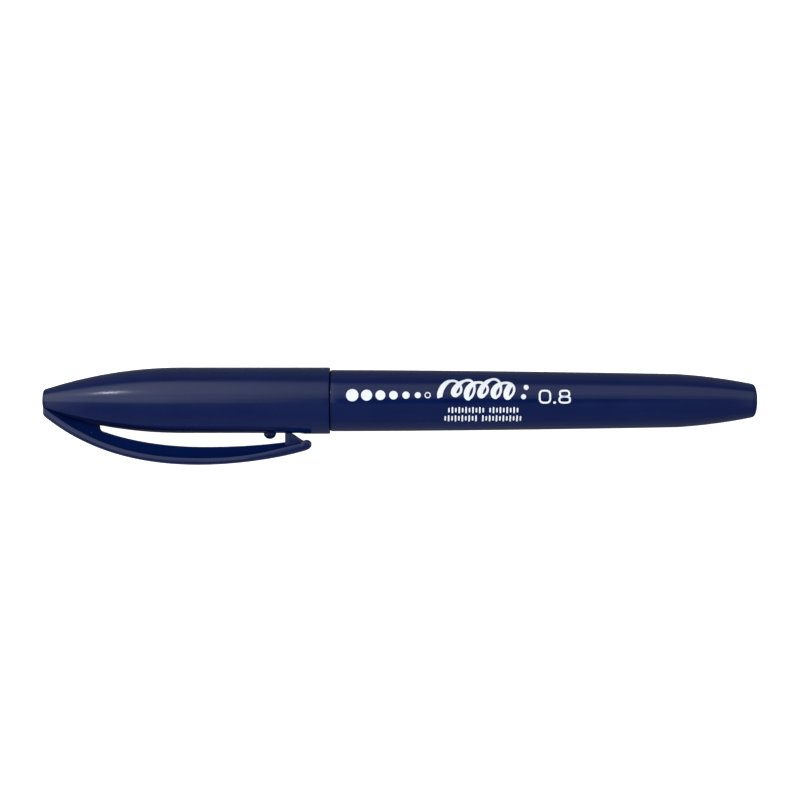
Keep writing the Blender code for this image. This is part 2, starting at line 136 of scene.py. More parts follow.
def lofted(rings, closed=False):
    """A bmesh through rings of matching points. A ring of one point is a pole. A loft that isn't
    closed on itself gets a face over each end that isn't a pole."""
    work = bmesh.new()
    loops = [[work.verts.new(point) for point in ring] for ring in rings]
    pairs = list(zip(loops, loops[1:]))
    if closed:
        pairs.append((loops[-1], loops[0]))
    for first, second in pairs:
        count = max(len(first), len(second))
        for i in range(count):
            j = (i + 1) % count
            corners = [first[i % len(first)], first[j % len(first)]]
            corners += [second[j % len(second)], second[i % len(second)]]
            work.faces.new(dict.fromkeys(corners))
    if not closed:
        for loop in (loops[0], loops[-1]):
            if len(loop) > 2:
                work.faces.new(loop)
    return work


def circle(x, radius, segments=SEGMENTS):
    """A ring about the pen's axis, or its centre where the radius is nothing."""
    if radius == 0.0:
        return [(x, 0.0, 0.0)]
    turns = (2 * math.pi * i / segments for i in range(segments))
    return [(x, radius * math.cos(turn), radius * math.sin(turn)) for turn in turns]


def turned(name, profile, material, segments=SEGMENTS):
    """A piece turned about the pen's axis. The (x, radius) profile is a closed ring, unless it
    starts and ends on the axis."""
    rings = [circle(x, radius, segments) for x, radius in profile]
    return add_mesh(name, lofted(rings, closed=profile[0][1] > 0.0), material)


def rounded(corners, steps=5):
    """Points along a line with corners given as (x, radius, rounding). A corner with a rounding
    is eased from that far before it to that far after it."""
    points = []
    for i, (x, radius, rounding) in enumerate(corners):
        corner = Vector((x, radius, 0.0))
        if rounding == 0.0:
            points.append((x, radius))
            continue
        before = Vector((*corners[i - 1][:2], 0.0))
        after = Vector((*corners[(i + 1) % len(corners)][:2], 0.0))
        start = corner + (before - corner).normalized() * rounding
        end = corner + (after - corner).normalized() * rounding
        for step in range(steps + 1):
            t = step / steps
            point = start.lerp(corner, t).lerp(corner.lerp(end, t), t)
            points.append((point.x, point.y))
    return points


def arc(centre, reach, start_degrees, end_degrees, steps):
    """Points of an arc about centre, as (x, radius) pairs. An angle of 0 points along +X. reach
    holds the half axes along X and across it."""
    points = []
    for i in range(steps + 1):
        angle = math.radians(start_degrees + (end_degrees - start_degrees) * i / steps)
        across = centre[1] + reach[1] * math.sin(angle)
        points.append((centre[0] + reach[0] * math.cos(angle), across))
    return points


def curve_points(corners, count):
    """Points on a cubic curve with these four control points, given in millimetres."""
    made = interpolate_bezier(*(Vector((*c, 0.0)) * mm for c in corners), count)
    return [(p.x, p.y) for p in made]


def value_on(line, along):
    """The second value of a line of (first, second) points where its first value is along."""
    for (a, low), (b, high) in zip(line, line[1:]):
        if a <= along <= b:
            return low + (high - low) * (along - a) / (b - a)
    return line[0][1] if along < line[0][0] else line[-1][1]


# --- Materials ---


class Nodes:
    """A material's node tree, with short calls to add and join nodes."""

    def __init__(self, name):
        self.material = bpy.data.materials.new(name)
        self.material.use_nodes = True
        self.tree = self.material.node_tree
        self.shader = self.tree.nodes["Principled BSDF"]
        self.place = self.add("ShaderNodeTexCoord").outputs["Object"]

    def add(self, kind, **settings):
        node = self.tree.nodes.new(kind)
        for key, value in settings.items():
            setattr(node, key, value)
        return node

    def join(self, source, target):
        self.tree.links.new(source, target)

    def set(self, **values):
        """Constants on the shader's own sockets, named with _ for a space."""
        for key, value in values.items():
            self.shader.inputs[key.replace("_", " ")].default_value = value

    def stretched(self, stretch):
        """The object's coordinates, scaled on each axis."""
        mapping = self.add("ShaderNodeMapping")
        mapping.inputs["Scale"].default_value = stretch
        self.join(self.place, mapping.inputs["Vector"])
        return mapping.outputs["Vector"]

    def noise(self, size, detail=3.0, roughness=0.55, stretch=None):
        """Noise with features about this many metres across."""
        node = self.add("ShaderNodeTexNoise")
        node.inputs["Scale"].default_value = 1.0 / size
        node.inputs["Detail"].default_value = detail
        node.inputs["Roughness"].default_value = roughness
        self.join(self.stretched(stretch) if stretch else self.place, node.inputs["Vector"])
        return node.outputs["Fac"]

    def ramp(self, source, low, high, out_low, out_high):
        """source, taken from low..high to out_low..out_high and held there."""
        node = self.add("ShaderNodeMapRange", clamp=True)
        numbers = (low, high, out_low, out_high)
        for socket, number in zip(("From Min", "From Max", "To Min", "To Max"), numbers):
            node.inputs[socket].default_value = number
        self.join(source, node.inputs["Value"])
        return node.outputs["Result"]

    def calculate(self, operation, first, second):
        node = self.add("ShaderNodeMath", operation=operation)
        self.join(first, node.inputs[0])
        if isinstance(second, float):
            node.inputs[1].default_value = second
        else:
            self.join(second, node.inputs[1])
        return node.outputs["Value"]

    def mix(self, factor, first, second):
        """A colour between two colours, each a tuple or another mix."""
        node = self.add("ShaderNodeMix", data_type="RGBA")
        self.join(factor, node.inputs["Factor"])
        for colour, socket in ((first, node.inputs[6]), (second, node.inputs[7])):
            if isinstance(colour, tuple):
                socket.default_value = (*colour, 1.0)
            else:
                self.join(colour, socket)
        return node.outputs[2]

    def bump(self, height, depth, below=None):
        """A bump of this many metres, on top of another bump where one is given."""
        node = self.add("ShaderNodeBump")
        node.inputs["Distance"].default_value = depth
        self.join(height, node.inputs["Height"])
        if below:
            self.join(below, node.inputs["Normal"])
        return node.outputs["Normal"]

    def colour(self, source):
        self.join(source, self.shader.inputs["Base Color"])

    def finish(self, roughness, normal):
        self.join(roughness, self.shader.inputs["Roughness"])
        self.join(normal, self.shader.inputs["Normal"])
        return self.material


def moulded_navy(name, roughness, orange_peel):
    """Glossy injection-moulded plastic: a slow waviness, a fine skin, faint flow streaks along
    the pen, hairline scuffs and a few pale specks of dust. On the floor of the cap's recess it
    carries painted shade, a darker navy that stands for the shade the clip casts there."""
    nodes = Nodes(name)
    deep, pale = (0.0008, 0.0062, 0.0500), (0.0014, 0.0084, 0.0600)
    # painted shade: the darker navy of the recess floor, standing for the clip's shade
    painted_recess_shade = (0.0004, 0.0026, 0.0330)
    speck_colour = (0.05, 0.08, 0.19)
    streaks = nodes.noise(1.1 * mm, detail=4.0, stretch=(0.08, 1.0, 1.0))
    clouds = nodes.noise(9.0 * mm, detail=2.0)
    streaky = nodes.ramp(streaks, 0.35, 0.65, 0.0, 0.45)
    tone = nodes.calculate("ADD", streaky, nodes.ramp(clouds, 0.3, 0.7, 0.0, 0.55))
    dust = nodes.add("ShaderNodeTexVoronoi", feature="F1")
    dust.inputs["Scale"].default_value = 1.0 / (5.0 * mm)
    nodes.join(nodes.place, dust.inputs["Vector"])
    specks = nodes.ramp(dust.outputs["Distance"], 0.012, 0.026, 1.0, 0.0)
    # the mask of the painted shade, 1 on the recess floor under the clip
    painted_shade_mask = nodes.add("ShaderNodeAttribute", attribute_name=PAINTED_SHADE_MARK).outputs["Fac"]
    navy = nodes.mix(painted_shade_mask, nodes.mix(tone, deep, pale), painted_recess_shade)
    nodes.colour(nodes.mix(specks, navy, speck_colour))
    scuffs = nodes.noise(0.35 * mm, detail=5.0, roughness=0.7, stretch=(0.06, 1.0, 1.0))
    skin = nodes.noise(0.12 * mm, detail=2.0)
    wave = nodes.noise(2.4 * mm, detail=1.0)
    polish = nodes.ramp(clouds, 0.3, 0.7, roughness - 0.02, roughness + 0.03)
    uneven = nodes.calculate("ADD", nodes.ramp(scuffs, 0.55, 0.85, 0.0, 0.045), polish)
    relief = nodes.bump(wave, orange_peel)
    relief = nodes.bump(skin, 0.0012 * mm, relief)
    relief = nodes.bump(specks, 0.01 * mm, relief)
    return nodes.finish(uneven, relief)


def printed_white():
    """Pad-printed ink: opaque, slightly uneven in density, with a soft grain."""
    nodes = Nodes("white_print")
    density = nodes.noise(0.22 * mm, detail=4.0, roughness=0.6)
    clouds = nodes.noise(2.5 * mm)
    thin, full = (0.60, 0.62, 0.68), (0.80, 0.81, 0.82)
    grainy = nodes.ramp(density, 0.3, 0.5, 0.0, 0.7)
    cover = nodes.calculate("ADD", grainy, nodes.ramp(clouds, 0.3, 0.6, 0.0, 0.3))
    nodes.colour(nodes.mix(cover, thin, full))
    roughness = nodes.ramp(density, 0.3, 0.7, 0.42, 0.52)
    return nodes.finish(roughness, nodes.bump(density, 0.004 * mm))


def section_plastic():
    """The grip's satin moulding: a fine spark-eroded texture over flow clouds."""
    nodes = Nodes("section_plastic")
    grain = nodes.noise(0.16 * mm, detail=4.0, roughness=0.7)
    clouds = nodes.noise(6.0 * mm)
    nodes.colour(nodes.mix(clouds, (0.0012, 0.0064, 0.0500), (0.0022, 0.0090, 0.0620)))
    return nodes.finish(nodes.ramp(grain, 0.3, 0.7, 0.33, 0.45), nodes.bump(grain, 0.012 * mm))


def holder_plastic():
    """The nib's guide, a dark acetal with turned rings and the sheen of ink on it."""
    nodes = Nodes("holder_plastic")
    rings = nodes.add("ShaderNodeTexWave", wave_type="BANDS", bands_direction="X")
    rings.inputs["Scale"].default_value = 1.0 / (1.4 * mm)
    rings.inputs["Distortion"].default_value = 0.4
    nodes.join(nodes.place, rings.inputs["Vector"])
    stain = nodes.noise(0.6 * mm, detail=4.0)
    clean, inky = (0.035, 0.042, 0.060), (0.010, 0.016, 0.055)
    nodes.colour(nodes.mix(nodes.ramp(stain, 0.4, 0.7, 0.0, 1.0), clean, inky))
    roughness = nodes.ramp(stain, 0.3, 0.7, 0.28, 0.42)
    return nodes.finish(roughness, nodes.bump(rings.outputs["Fac"], 0.006 * mm))


def ink_fibre():
    """Bonded fibres that run along the pen, soaked with navy ink."""
    nodes = Nodes("ink_fibre")
    fibres = nodes.noise(0.09 * mm, detail=5.0, roughness=0.65, stretch=(0.05, 1.0, 1.0))
    soak = nodes.noise(1.6 * mm, detail=3.0)
    dark, pale, soaked = (0.0030, 0.0060, 0.0380), (0.0140, 0.0240, 0.0950), (0.0040, 0.0080, 0.0460)
    wet = nodes.mix(nodes.ramp(fibres, 0.35, 0.7, 0.0, 1.0), dark, pale)
    nodes.colour(nodes.mix(nodes.ramp(soak, 0.5, 0.7, 0.0, 0.6), wet, soaked))
    nodes.set(Sheen_Weight=0.15, Sheen_Roughness=0.5)
    return nodes.finish(nodes.ramp(fibres, 0.3, 0.7, 0.62, 0.88), nodes.bump(fibres, 0.03 * mm))


def liner_plastic():
    """Milky polyethylene, a little translucent, with soft flow marks."""
    nodes = Nodes("liner_plastic")
    flow = nodes.noise(1.8 * mm, detail=3.0, stretch=(0.3, 1.0, 1.0))
    fine = nodes.noise(0.2 * mm, detail=3.0)
    nodes.colour(nodes.mix(flow, (0.66, 0.68, 0.70), (0.78, 0.79, 0.79)))
    nodes.set(Subsurface_Weight=0.25, Subsurface_Scale=1.5 * mm)
    return nodes.finish(nodes.ramp(fine, 0.3, 0.7, 0.38, 0.5), nodes.bump(fine, 0.008 * mm))


def clear_film():
    """The thin wrap round the reservoir, crinkled along its length."""
    nodes = Nodes("film")
    crinkle = nodes.noise(1.3 * mm, detail=3.0, stretch=(0.2, 1.0, 1.0))
    nodes.colour(nodes.mix(crinkle, (0.10, 0.13, 0.26), (0.22, 0.26, 0.40)))
    nodes.set(Coat_Weight=0.6, Coat_Roughness=0.08)
    return nodes.finish(nodes.ramp(crinkle, 0.3, 0.7, 0.16, 0.3), nodes.bump(crinkle, 0.06 * mm))


# --- The pen ---


def barrel_radius(x):
    """The barrel's outer radius: straight behind the cap, then tapering ever faster."""
    along_taper = max(0.0, x - TAPER_START_X) / (NOSE_X - TAPER_START_X)
    return BARREL_RADIUS - TAPER_DROP * along_taper**1.5


def nose_points(length, steps=28):
    """The barrel's tail, an arc from the taper's end to the plug's rim."""
    slope_in = 0.06
    start = barrel_radius(NOSE_X)
    curvature = 2 * (start - TAIL_RADIUS - slope_in * length) / length**2
    runs = (length * i / steps for i in range(steps + 1))
    return [(NOSE_X + run, start - slope_in * run - curvature * run**2 / 2) for run in runs]


def make_barrel(navy):
    """The barrel, with a rounded shoulder behind the cap's mouth and an eased tail edge."""
    tail_edge = 0.1 * mm
    shoulder_edge = 0.42 * mm
    steps = 40
    nose = nose_points(TAIL_SEAM_X - tail_edge - NOSE_X)
    tail_centre = (TAIL_SEAM_X - tail_edge, TAIL_RADIUS - tail_edge)
    profile = arc(tail_centre, (tail_edge, tail_edge), 0, 80, 4) + nose[::-1]
    start, end = NOSE_X - 0.5 * mm, SHOULDER_X + shoulder_edge
    stations = (start + (end - start) * i / steps for i in range(steps))
    profile += [(x, barrel_radius(x)) for x in stations]
    shoulder_centre = (end, BARREL_RADIUS - shoulder_edge)
    profile += arc(shoulder_centre, (shoulder_edge, shoulder_edge), 90, 180, 10)
    bore = [
        (SHOULDER_X, BARREL_BORE_RADIUS, 0.0),
        (-70.5 * mm, BARREL_BORE_RADIUS, 0.2 * mm),
        (-70.2 * mm, 4.75 * mm, 0.2 * mm),
        (-15.9 * mm, CHAMBER_RADIUS, 0.2 * mm),
        (PLUG_SEAT_X, PLUG_RADIUS, 0.3 * mm),
        (TAIL_SEAM_X, PLUG_RADIUS, 0.0),
    ]
    return turned("barrel_body", profile + rounded(bore, 3), navy)


def make_tail_plug(navy):
    """The flush rim that closes the tail, and the cup behind it."""
    rim_x = TAIL_SEAM_X + SEAM
    rim_radius = TAIL_RADIUS - 0.1 * mm
    reach = (-rim_x, rim_radius - TAIL_FACE_RADIUS)
    dimple = [(-0.12 * mm, 0.0), (-0.12 * mm, 0.55 * mm), (-0.02 * mm, 0.72 * mm), (0.0, 0.8 * mm)]
    profile = dimple + arc((rim_x, TAIL_FACE_RADIUS), reach, 90, 0, 12)[::-1]
    cup = [
        (rim_x, PLUG_RADIUS - SEAM, 0.0),
        (PLUG_SEAT_X + 1.1 * mm, PLUG_RADIUS - SEAM, 0.15 * mm),
        (PLUG_SEAT_X + 0.5 * mm, 2.1 * mm, 0.15 * mm),
        (PLUG_X[0], 2.1 * mm, 0.12 * mm),
        (PLUG_X[0], 1.4 * mm, 0.12 * mm),
        (-2.0 * mm, 1.4 * mm, 0.3 * mm),
        (-2.0 * mm, 0.0, 0.0),
    ]
    return turned("tail_plug_body", profile + rounded(cup, 3), navy)


def make_grip_section(material):
    """The moulding that closes the barrel's front and carries the nib."""
    shoulder = SHOULDER_X - SEAM
    neck, snap_ring = 5.18 * mm, 5.26 * mm
    front = SECTION_X[0]
    outer = [
        (SECTION_X[1], SPIGOT_RADIUS - 0.4 * mm, 0.0),
        (SECTION_X[1] - 0.6 * mm, SPIGOT_RADIUS, 0.2 * mm),
        (shoulder, SPIGOT_RADIUS, 0.0),
        (shoulder, neck, 0.06 * mm),
        (SNAP_X, neck, 0.15 * mm),
        (SNAP_X - 0.4 * mm, snap_ring, 0.15 * mm),
        (SNAP_X - 1.0 * mm, snap_ring, 0.15 * mm),
        (SNAP_X - 1.4 * mm, neck, 0.15 * mm),
        (-91.0 * mm, 5.1 * mm, 0.8 * mm),
        (-97.0 * mm, 4.82 * mm, 1.5 * mm),
        (-107.0 * mm, 4.45 * mm, 0.2 * mm),
        (-107.45 * mm, 4.2 * mm, 0.2 * mm),
        (-107.6 * mm, SEAL_RADIUS, 0.1 * mm),
        (-111.2 * mm, SEAL_RADIUS, 0.2 * mm),
        (-111.8 * mm, 3.3 * mm, 0.2 * mm),
        (-114.5 * mm, 2.45 * mm, 0.8 * mm),
        (front + 0.2 * mm, 2.0 * mm, 0.1 * mm),
        (front, 1.8 * mm, 0.06 * mm),
        (front, HOLDER_RADIUS + SEAM, 0.0),
        (HOLDER_X[1] + 0.5 * mm, HOLDER_RADIUS + SEAM, 0.0),
        (RESERVOIR_FRONT_X - 0.1 * mm, CHAMBER_RADIUS, 0.0),
        (SECTION_X[1], CHAMBER_RADIUS, 0.0),
    ]
    return turned("grip_section_body", rounded(outer), material)


def make_nib_holder(material):
    """The collar that guides the nib and stands out of the section."""
    front, back = HOLDER_X
    bore = NIB_RADIUS + SEAM
    profile = [
        (back, HOLDER_RADIUS, 0.1 * mm),
        (SECTION_X[0], HOLDER_RADIUS, 0.1 * mm),
        (SECTION_X[0] - 0.3 * mm, 1.42 * mm, 0.1 * mm),
        (front + 0.1 * mm, 1.14 * mm, 0.06 * mm),
        (front, 1.04 * mm, 0.04 * mm),
        (front, bore, 0.0),
        (back, bore, 0.0),
    ]
    return turned("nib_holder_body", rounded(profile), material, 96)


def make_nib(material):
    """A fibre rod with a rounded point as wide as the line it draws."""
    tip = LINE_WIDTH / 2
    point, back = NIB_X
    rod = [
        (back, 0.0, 0.0),
        (back, NIB_RADIUS - 0.3 * mm, 0.05 * mm),
        (back - 0.4 * mm, NIB_RADIUS, 0.1 * mm),
        (HOLDER_X[0], NIB_RADIUS, 0.1 * mm),
        (HOLDER_X[0] - 0.5 * mm, NIB_RADIUS - 0.04 * mm, 0.15 * mm),
    ]
    profile = rounded(rod) + arc((point + tip, 0.0), (tip, tip), 108, 180, 8)[:-1]
    return turned("nib_body", profile + [(point, 0.0)], material, 96)


def make_inner_cap(material):
    """The cup that seals round the section's nose."""
    end, mouth = INNER_CAP_X
    seal = SEAL_RADIUS + SLIDE_GAP
    profile = [
        (end + 0.8 * mm, 0.0, 0.0),
        (end + 0.8 * mm, 3.4 * mm, 0.4 * mm),
        (-113.2 * mm, 3.55 * mm, 0.2 * mm),
        (-112.2 * mm, seal, 0.2 * mm),
        (mouth - 0.5 * mm, seal, 0.1 * mm),
        (mouth, seal + 0.25 * mm, 0.08 * mm),
        (mouth, FLANGE_RADIUS, 0.1 * mm),
        (FLANGE_BACK_X, FLANGE_RADIUS, 0.1 * mm),
        (FLANGE_BACK_X, INNER_CAP_RADIUS, 0.1 * mm),
        (end + 0.5 * mm, 4.1 * mm, 0.15 * mm),
        (end, 3.6 * mm, 0.15 * mm),
        (end, 0.0, 0.0),
    ]
    return turned("inner_cap_body", rounded(profile), material)


# --- The cap and its clip ---


def cap_radius(along):
    """The cap's outer radius at a distance from its closed end."""
    short = max(0.0, OGIVE_LENGTH - along)
    return CAP_RADIUS - (OGIVE_ARC_RADIUS - math.sqrt(OGIVE_ARC_RADIUS**2 - short**2))


def recess_half_width(along):
    """The leaf-shaped field under the clip: narrow at the closed end, round at the other."""
    root, middle, tip = 1.85 * mm, 3.7 * mm, 3.14 * mm
    widest, round_start = 20.0 * mm, 44.0 * mm
    if along < widest:
        return middle - (middle - root) * (1 - along / widest) ** 1.8
    if along < round_start:
        return middle - (middle - tip) * ((along - widest) / (round_start - widest)) ** 1.2
    on_end = min(1.0, (along - round_start) / (RECESS_END - round_start))
    return tip * math.sqrt(1 - on_end**2)


def cap_ring(x, radius, along=None):
    """A ring of the cap's shell. Where along is given, it has the recess under the clip."""
    inside, outside = 24, 104
    recessed = along is not None and along < RECESS_END
    depth = RECESS_DEPTH if recessed else 0.0
    half = max(recess_half_width(along if recessed else RECESS_END), 0.05 * mm)
    edge = math.asin(min(0.95, half / radius))
    floor_edge = max(edge * 0.5, edge - 0.10 * mm / radius)
    turns = [(floor_edge * (2 * i / inside - 1), radius - depth) for i in range(inside + 1)]
    sweep = 2 * (math.pi - edge)
    turns += [(edge + sweep * i / outside, radius) for i in range(outside + 1)]
    return [(x, -r * math.cos(turn), r * math.sin(turn)) for turn, r in turns]


def make_cap_shell(navy):
    """The shell, from the inner end of its bore to the mouth and along the outside."""
    end_wall_x = CAP_END_X + 2.2 * mm
    snap_bore = 5.33 * mm
    seat_x = FLANGE_BACK_X - SEAM
    seat_bore, flange_bore = INNER_CAP_RADIUS + SLIDE_GAP, FLANGE_RADIUS + SLIDE_GAP
    bore = [
        (end_wall_x, 1.0 * mm, 0.0),
        (INNER_CAP_X[0] - 0.8 * mm, 3.5 * mm, 0.2 * mm),
        (INNER_CAP_X[0] - 0.2 * mm, 4.17 * mm, 0.2 * mm),
        (FLANGE_BACK_X - 0.6 * mm, seat_bore, 0.0),
        (seat_x, seat_bore, 0.0),
        (seat_x, flange_bore, 0.0),
        (INNER_CAP_X[1] + 0.1 * mm, flange_bore, 0.1 * mm),
        (INNER_CAP_X[1] + 0.6 * mm, CAP_BORE_RADIUS, 0.1 * mm),
        (SNAP_X - 0.2 * mm, CAP_BORE_RADIUS, 0.1 * mm),
        (SNAP_X + 0.2 * mm, snap_bore, 0.1 * mm),
        (CAP_MOUTH_X - 0.3 * mm, snap_bore, 0.1 * mm),
        (CAP_MOUTH_X, snap_bore + 0.25 * mm, 0.0),
    ]
    rings = [[(end_wall_x, 0.0, 0.0)]]
    rings += [cap_ring(x, radius) for x, radius in rounded(bore, 3)]
    lip = 0.12 * mm
    lip_centre = (CAP_MOUTH_X - lip, CAP_RADIUS - lip)
    rings += [cap_ring(x, radius) for x, radius in arc(lip_centre, (lip, lip), 0, 90, 8)]
    end_edge = 0.35 * mm
    straight_end = 54.5 * mm
    steps = 110
    for i in range(steps + 1):
        along = straight_end + (end_edge - straight_end) * i / steps
        rings.append(cap_ring(CAP_END_X + along, cap_radius(along), along))
    end_centre = (CAP_END_X + end_edge, cap_radius(end_edge) - end_edge)
    for x, radius in arc(end_centre, (end_edge, end_edge), 100, 180, 7):
        rings.append(cap_ring(x, radius, x - CAP_END_X))
    rings.append([(CAP_END_X, 0.0, 0.0)])
    shell = add_mesh("cap_shell_body", lofted(rings), navy, 24)
    # mark the recess floor, where the cap's material paints shade
    mark = shell.data.attributes.new(PAINTED_SHADE_MARK, "FLOAT", "POINT")
    mark.data.foreach_set("value", [float(on_recess_floor(v.co)) for v in shell.data.vertices])
    return shell


def on_recess_floor(point):
    """Whether a point of the shell is on the floor of the recess under the clip, where the
    cap's material paints shade.
    """
    along = point.x - CAP_END_X
    if point.y > 0.0 or not 0.0 < along < RECESS_END:
        return False
    depth = cap_radius(along) - math.hypot(point.y, point.z)
    return abs(depth - RECESS_DEPTH) < 0.01 * mm


def make_clip_bump(navy):
    """The dome that the clip's tooth works against, with a soft foot."""
    height, foot, sunk = 1.0 * mm, 1.2 * mm, 0.1 * mm
    centre_x = CAP_END_X + BUMP_AT
    profile = [(foot, CAP_RADIUS - 0.7 * mm), (foot + 0.15 * mm, CAP_RADIUS - 0.22 * mm)]
    steps, around = 12, 48
    for i in range(steps):
        angle = math.pi / 2 * i / steps
        out = CAP_RADIUS - sunk + (height + sunk) * math.sin(angle)
        profile.append((foot * math.cos(angle), out))
    rings = []
    for radius, out in profile:
        turns = [2 * math.pi * j / around for j in range(around)]
        rings.append([(centre_x + radius * math.cos(t), -out, radius * math.sin(t)) for t in turns])
    rings.append([(centre_x, -CAP_RADIUS - height, 0.0)])
    return add_mesh("clip_bump", lofted(rings), navy, 40)


def clip_lines():
    """The strap's outer face, its inner face and the free edge of the keel under it."""
    count = 40
    outer = curve_points(((0.1, 3.05), (8.4, 9.75), (18.5, 12.56), (30.4, 12.56)), count)
    outer += curve_points(((30.4, 12.56), (36.6, 12.56), (44.7, 11.6), (50.6, 9.93)), count)[1:]
    outer += curve_points(((50.6, 9.93), (51.5, 9.67), (52.2, 9.4), (52.2, 8.95)), 10)[1:]
    inner = curve_points(((0.1, 1.2), (9.1, 8.1), (17.6, 11.14), (31.0, 11.14)), count)
    inner += curve_points(((31.0, 11.14), (41.2, 11.14), (44.9, 9.45), (50.4, 8.3)), count)[1:]
    inner += curve_points(((50.4, 8.3), (50.8, 7.5), (51.7, 7.5), (52.2, 8.25)), 10)[1:]
    free = curve_points(((0.1, -0.9), (6.9, 6.4), (19.9, 9.06), (31.3, 9.06)), count)
    free += curve_points(((31.3, 9.06), (38.3, 9.06), (44.6, 8.6), (50.4, 7.6)), count)[1:]
    return outer, inner, free


def strap_half_width(along):
    """A leaf in plan: as narrow as the end face at its root, widest near the middle."""
    root, middle, tip = 1.9 * mm, 3.05 * mm, 2.3 * mm
    widest, end = 22.0 * mm, 52.2 * mm
    if along < widest:
        return middle - (middle - root) * (1 - along / widest) ** 1.8
    return middle - (middle - tip) * ((along - widest) / (end - widest)) ** 2


def tooth_foot(along, across):
    """How far the tooth's foot is from the pen's axis: close to the cap, then sloping away."""
    over_cap = math.sqrt((CAP_RADIUS - RECESS_DEPTH + TOOTH_GAP) ** 2 - across**2)
    slope = [(TOOTH_START, 0.0), (TOOTH_START + 0.9 * mm, 0.0), (TOOTH_END, 1.75 * mm)]
    return over_cap + value_on(slope, along)


def clip_underside(along, inner, free, edge):
    """The right side of what is under the strap, from the middle of its foot out to the strap's
    edge. It is the keel, the tooth, or at the root a keel that runs down into the cap's wall."""
    toothed = TOOTH_START <= along <= TOOTH_END
    ease = min(0.15 * mm, (inner - free) / 3)
    half = TOOTH_HALF_WIDTH if toothed else KEEL_HALF_WIDTH
    flank = (half, free + ease)
    if along < CLIP_FREE:
        low = min(free - ease, cap_radius(along) - 0.7 * mm)
        side = [(0.0, low), (0.05 * mm, low), (0.10 * mm, low), (0.15 * mm, low + ease)]
        side.append(((side[-1][0] + half) / 2, (side[-1][1] + flank[1]) / 2))
    elif toothed:
        share = (half - KEEL_HALF_WIDTH) / (edge[0] - KEEL_HALF_WIDTH)
        flank = (half, free + (edge[1] - free) * share)
        side = []
        for across in (0.0, half * 0.6, half - ease):
            side.append((across, min(tooth_foot(along, across), inner - 0.1 * mm)))
        corner = side[-1][1]
        side.append((half - ease * 0.3, min(corner + ease * 0.3, flank[1] - 0.02 * mm)))
        side.append((half, min(corner + ease, flank[1] - 0.01 * mm)))
    else:
        side = [(0.0, free), (half * 0.6, free), (half - ease, free)]
        side += [(half - ease * 0.3, free + ease * 0.3), (half, free + ease * 0.7)]
    steps = 6
    for i in range(steps + 1):
        t = i / steps
        out = flank[1] + (edge[1] - flank[1]) * (t + 0.10 * math.sin(math.pi * t))
        side.append((flank[0] + (edge[0] - flank[0]) * t, out))
    return side


def strap_side(half, inner, outer):
    """The right side of the strap, from its inner edge round to the middle of its crown."""
    side = [
        (half - 0.22 * mm, inner + 0.01 * mm),
        (half - 0.18 * mm, inner + 0.07 * mm),
        (half - 0.15 * mm, inner + 0.16 * mm),
    ]
    crown = ((1.0, 0.50), (0.985, 0.62), (0.93, 0.75), (0.82, 0.86), (0.62, 0.95), (0.34, 0.99))
    side += [(half * across, inner + (outer - inner) * up) for across, up in crown]
    return side + [(0.0, outer)]


def clip_section(along, lines):
    """The clip's section across the pen: a crowned strap, and the keel or the tooth under it."""
    outer, inner, free = (value_on(line, along) for line in lines)
    half = strap_half_width(along)
    if along > TOOTH_END:
        free = inner
    free = min(free, inner - 0.05 * mm)
    if along >= CLIP_FREE:
        short = max(0.0, CLIP_FREE + ROOT_FILLET - along)
        free -= ROOT_FILLET - math.sqrt(ROOT_FILLET**2 - short**2)
    right = clip_underside(along, inner, free, (half - 0.28 * mm, inner - 0.02 * mm))
    right += strap_side(half, inner, outer)
    loop = right + [(-across, out) for across, out in right[-2:0:-1]]
    from_edge = 1.0 - min(1.0, along / CLIP_END_EDGE)
    size = 0.8 + 0.2 * math.sqrt(1.0 - from_edge**2)
    middle = (outer + inner) / 2
    x = CAP_END_X + along
    return [(x, -middle - (out - middle) * size, across * size) for across, out in loop]


def make_clip(navy):
    """The whole clip in one loft, with extra sections where it comes free of the cap."""
    lines = clip_lines()
    steps = 150
    stations = [0.1 * mm + (CLIP_TIP - 0.12 * mm) * i / steps for i in range(steps + 1)]
    stations += [0.13 * mm, 0.18 * mm, 0.25 * mm, 0.34 * mm]
    stations += [CLIP_FREE + ROOT_FILLET * share for share in (0.05, 0.15, 0.3, 0.5, 0.75)]
    for edge in (CLIP_FREE, TOOTH_START, TOOTH_END):
        stations += [edge - 0.01 * mm, edge + 0.01 * mm]
    rings = [clip_section(along, lines) for along in sorted(stations)]
    return add_mesh("pocket_clip_body", lofted(rings), navy, 30)


# --- The print ---


def on_barrel(x, y, proud=0.012 * mm):
    """The point of the barrel's upper side at this x and y."""
    radius = barrel_radius(x) + proud
    return (x, y, math.sqrt(radius**2 - y**2))


def ribbon(work, centres, widths, across_steps=6):
    """A printed stroke along centres, given as (x, y), with a width at each."""
    rows = []
    for i, (x, y) in enumerate(centres):
        before = centres[max(0, i - 1)]
        after = centres[min(len(centres) - 1, i + 1)]
        along = Vector((after[0] - before[0], after[1] - before[1]))
        side = Vector((-along.y, along.x)).normalized() * widths[i] / 2
        row = []
        for j in range(across_steps + 1):
            share = 2 * j / across_steps - 1
            row.append(work.verts.new(on_barrel(x + side.x * share, y + side.y * share)))
        rows.append(row)
    for first, second in zip(rows, rows[1:]):
        for j in range(across_steps):
            work.faces.new((first[j], first[j + 1], second[j + 1], second[j]))


def pill(work, start, end, width, steps=16):
    """A straight printed stroke with round ends."""
    a, b = Vector(start), Vector(end)
    length = (b - a).length
    centres, widths = [], []
    for i in range(steps + 1):
        run = length / 2 - (length / 2 + width / 2) * math.cos(math.pi * i / steps)
        over = max(-run, run - length, 0.0)
        point = a + (b - a) * run / length
        centres.append((point.x, point.y))
        widths.append(2 * math.sqrt(max(0.0, (width / 2) ** 2 - over**2)) + 0.002 * mm)
    ribbon(work, centres, widths)


